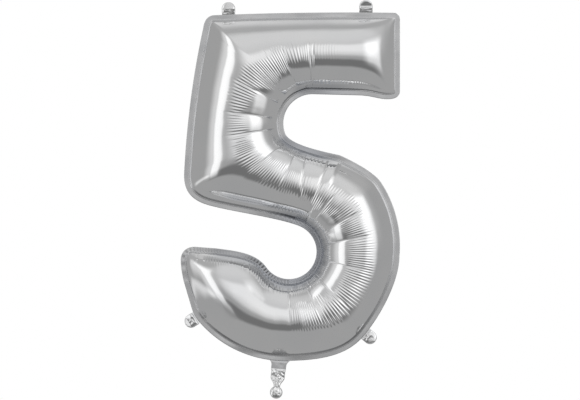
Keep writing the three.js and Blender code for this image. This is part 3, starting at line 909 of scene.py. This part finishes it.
for side, seed, mirror in (("front", 3, False), ("rear", 11, True)):
    piece = panel(f"{side}_sheet", seed, mirror)
    piece.data.materials.append(bright_foil)
    piece.data.materials.append(seal_foil)
    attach(piece, "root")
    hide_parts(f"{side}_panel")
for each in TABS:
    tab(*each)
tail()
for name, node in frame["nodes"].items():
    if name.startswith("valve_"):
        node.data.materials.clear()
        node.data.materials.append(clear_film)

# ---- Studio ----------------------------------------------------------------------------------

# The studio as the foil sees it: a grey room with soft patches, light or, below 0, dark. Each is
# the bearing of its middle, half its width and the blur of its edge, then the same three upwards,
# then its brightness. Bearings and rises are in degrees. Bearing 0 is in front of the object, 90 is
# +X and 180 is behind it.
ROOM = 0.38
STUDIO = (
    ((18, 50, 50), (44, 40, 22), 0.26),
    ((22, 36, 34), (13, 18, 12), 0.26),
    ((0, 200, 1), (74, 30, 30), 0.06),
    ((-55, 17, 22), (14, 44, 24), 0.35),
    ((-47, 10, 6), (12, 40, 24), 0.4),
    ((48, 16, 14), (8, 28, 22), 0.42),
    ((-6, 60, 34), (-27, 11, 9), -0.2),
    ((-88, 28, 20), (-21, 4, 8), 0.4),
    ((165, 16, 18), (30, 40, 26), 0.28),
    ((-165, 16, 18), (30, 40, 26), 0.28),
)


def studio():
    """A grey room with soft lights, all in the world, and plain white where the camera looks."""
    world = bpy.data.worlds.new("studio")
    bpy.context.scene.world = world
    world.use_nodes = True
    tree = world.node_tree
    tree.nodes.clear()

    def add(kind, **inputs):
        node = tree.nodes.new(kind)
        for key, value in inputs.items():
            socket = node.inputs[int(key[1:])] if key[0] == "i" and key[1:].isdigit() else node.inputs[key]
            if isinstance(value, bpy.types.NodeSocket):
                tree.links.new(value, socket)
            else:
                socket.default_value = value
        return node

    def maths(operation, one, two=0.0):
        node = add("ShaderNodeMath", i0=one, i1=two)
        node.operation = operation
        return node.outputs[0]

    place = tree.nodes.new("ShaderNodeTexCoord")
    split = add("ShaderNodeSeparateXYZ", Vector=place.outputs["Generated"])
    x, y, z = split.outputs
    ahead = maths("MULTIPLY", y, -1.0)
    bearing = maths("DEGREES", maths("ARCTAN2", x, ahead))
    rise = maths("DEGREES", maths("ARCSINE", z))

    def window(angle, middle, half, blur):
        away = maths("ABSOLUTE", maths("SUBTRACT", angle, float(middle)))
        node = add("ShaderNodeMapRange", Value=away, i1=float(half - blur / 2), i2=float(half + blur / 2))
        node.interpolation_type = "SMOOTHSTEP"
        node.inputs[3].default_value = 1.0
        node.inputs[4].default_value = 0.0
        return node.outputs[0]

    total = ROOM
    for across, upward, brightness in STUDIO:
        inside = maths("MULTIPLY", window(bearing, *across), window(rise, *upward))
        total = maths("ADD", maths("MULTIPLY", inside, brightness), total)
    light = add("ShaderNodeBackground", Strength=total)
    seen = add("ShaderNodeBackground")
    for node in (light, seen):
        node.inputs["Color"].default_value = (1, 1, 1, 1)
    path = tree.nodes.new("ShaderNodeLightPath")
    mix = add(
        "ShaderNodeMixShader",
        Fac=path.outputs["Is Camera Ray"],
        i1=light.outputs["Background"],
        i2=seen.outputs["Background"],
    )
    add("ShaderNodeOutputWorld", Surface=mix.outputs["Shader"])


CAMERA_FAR = 7.0
VIEW_WIDTH = 1.433  # at the seal's plane
FLOOR_R = 2.2
FLOOR_Z = -0.68
FLOOR_SIDES = 96


def camera():
    data = bpy.data.cameras.new("camera")
    made = bpy.data.objects.new("camera", data)
    bpy.context.scene.collection.objects.link(made)
    made.location = (-0.001, -CAMERA_FAR, -0.0017)
    made.rotation_euler = (math.pi / 2, 0, 0)
    data.lens = data.sensor_width * CAMERA_FAR / VIEW_WIDTH
    bpy.context.scene.camera = made


def floor():
    mesh = bpy.data.meshes.new("floor")
    turns = np.linspace(0, 2 * math.pi, FLOOR_SIDES, endpoint=False)
    ring = [(FLOOR_R * math.cos(t), FLOOR_R * math.sin(t), FLOOR_Z) for t in turns]
    mesh.from_pydata(ring, [], [list(range(FLOOR_SIDES))])
    made = bpy.data.objects.new("floor", mesh)
    bpy.context.scene.collection.objects.link(made)
    material = bpy.data.materials.new("pale_floor")
    material.use_nodes = True
    shader = material.node_tree.nodes["Principled BSDF"]
    shader.inputs["Base Color"].default_value = (0.85, 0.85, 0.85, 1)
    shader.inputs["Roughness"].default_value = 0.9
    shader.inputs["Emission Color"].default_value = (1, 1, 1, 1)
    shader.inputs["Emission Strength"].default_value = 0.4
    mesh.materials.append(material)
    made.visible_glossy = False  # the foil mirrors the studio's own grey, not the floor's edge


studio()
camera()
floor()
bpy.context.scene.view_settings.view_transform = "Standard"
